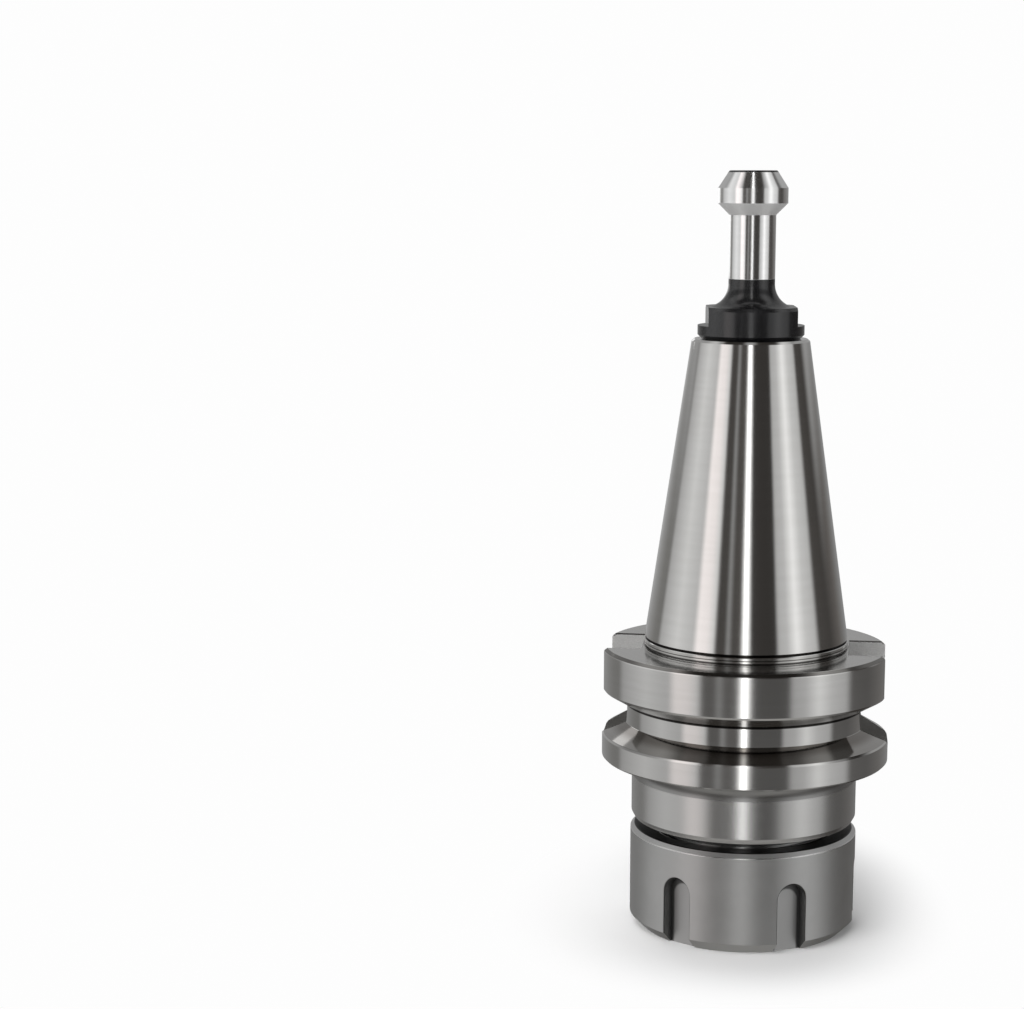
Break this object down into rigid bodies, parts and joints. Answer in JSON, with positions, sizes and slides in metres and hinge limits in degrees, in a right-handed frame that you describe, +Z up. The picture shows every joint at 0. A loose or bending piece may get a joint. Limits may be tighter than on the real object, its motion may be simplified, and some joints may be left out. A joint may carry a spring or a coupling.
{
  "type": "collet chuck holder",
  "caption": "Steep-taper spring-collet chuck standing on its slotted clamping nut, with a gripper flange, drive keyways and a pull stud at the small end.",
  "frame": {"origin": "centre of the clamping nut's front face, the face that the chuck stands on", "axes": "+Z up along the spindle axis towards the pull stud; the two drive keyways open on +X and -X"},
  "size_m": [0.063, 0.063, 0.1662],
  "materials": {
    "holder_steel": "ground, bright, fine turning lines round the axis",
    "stud_steel": "head and upper shank ground bright, lower shank and flange black oxide",
    "nut_steel": "satin grey, fine matte",
    "collet_steel": "ground spring steel"
  },
  "bodies": {
    "nut": {"clamping_nut": "nut_steel"},
    "collet": {"spring_collet": "collet_steel"},
    "holder": {"holder_body": "holder_steel", "pull_stud": "stud_steel"}
  },
  "joints": [
    {"name": "nut_turn", "type": "hinge", "parent": "nut", "child": "collet", "pos_m": [0, 0, 0.0112], "axis": [0, 0, 1], "range_deg": [0, 3060]},
    {"name": "collet_travel", "type": "slide", "parent": "collet", "child": "holder", "axis": [0, 0, 1], "range_m": [0, 0.01277]}
  ],
  "couplings": [
    {"joint": "collet_travel", "follows": "nut_turn", "m_per_rad": 0.00023873}
  ]
}
